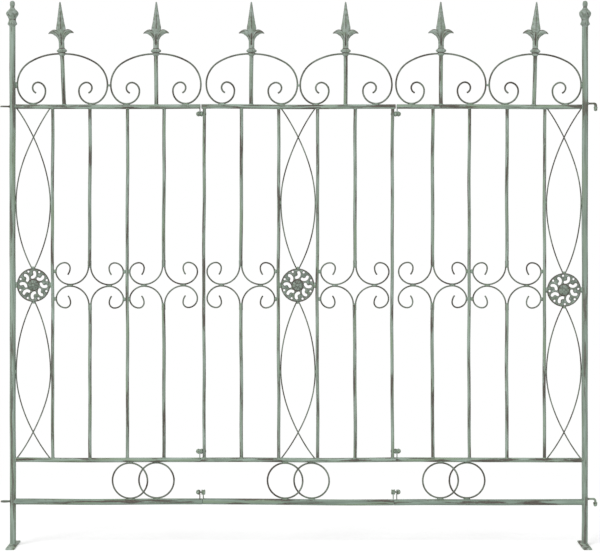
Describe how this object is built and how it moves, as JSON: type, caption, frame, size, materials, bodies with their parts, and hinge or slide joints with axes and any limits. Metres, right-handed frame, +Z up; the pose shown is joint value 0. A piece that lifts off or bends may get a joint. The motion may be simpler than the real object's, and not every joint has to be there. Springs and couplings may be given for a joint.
{
  "type": "garden fence",
  "caption": "Ornamental metal garden fence of three bolted sections between two posts, with scrolled arches and spear tips on top, scrollwork, medallions and rings.",
  "frame": {"origin": "middle of the underside of the left foot plate", "axes": "+X along the fence from the left post to the right post, -Y the front, +Z up"},
  "size_m": [1.6432, 0.14, 1.5],
  "materials": {
    "post_paint": "matt sage green paint, worn to brown rust",
    "rail_paint": "matt sage green paint, worn to brown rust",
    "bar_paint": "matt sage green paint, worn to brown rust",
    "wire_paint": "thin grey green paint over dark brown rust",
    "casting_paint": "matt sage green paint, dark in the hollows",
    "fastener_rust": "dark brown rust with traces of green paint"
  },
  "bodies": {
    "root": {"left_post": "post_paint", "right_post": "post_paint", "feet": "post_paint", "finials": "casting_paint", "left_eyes": "wire_paint", "right_hooks": "wire_paint", "left_top_rail": "rail_paint", "middle_top_rail": "rail_paint", "right_top_rail": "rail_paint", "left_lower_rail": "rail_paint", "middle_lower_rail": "rail_paint", "right_lower_rail": "rail_paint", "left_bottom_rail": "rail_paint", "middle_bottom_rail": "rail_paint", "right_bottom_rail": "rail_paint", "seam_lugs": "rail_paint", "seam_bolts": "fastener_rust", "middle_end_bars": "bar_paint", "left_plain_bars": "bar_paint", "middle_plain_bars": "bar_paint", "right_plain_bars": "bar_paint", "left_split_bars": "bar_paint", "middle_split_bars": "bar_paint", "right_split_bars": "bar_paint", "left_upper_scrolls": "wire_paint", "middle_upper_scrolls": "wire_paint", "right_upper_scrolls": "wire_paint", "left_lower_scrolls": "wire_paint", "middle_lower_scrolls": "wire_paint", "right_lower_scrolls": "wire_paint", "left_arches": "wire_paint", "middle_arches": "wire_paint", "right_arches": "wire_paint", "left_spear_rods": "bar_paint", "middle_spear_rods": "bar_paint", "right_spear_rods": "bar_paint", "left_spear_heads": "casting_paint", "middle_spear_heads": "casting_paint", "right_spear_heads": "casting_paint", "left_crossed_wires": "wire_paint", "middle_crossed_wires": "wire_paint", "right_crossed_wires": "wire_paint", "medallions": "casting_paint", "rings": "wire_paint"}
  },
  "joints": []
}
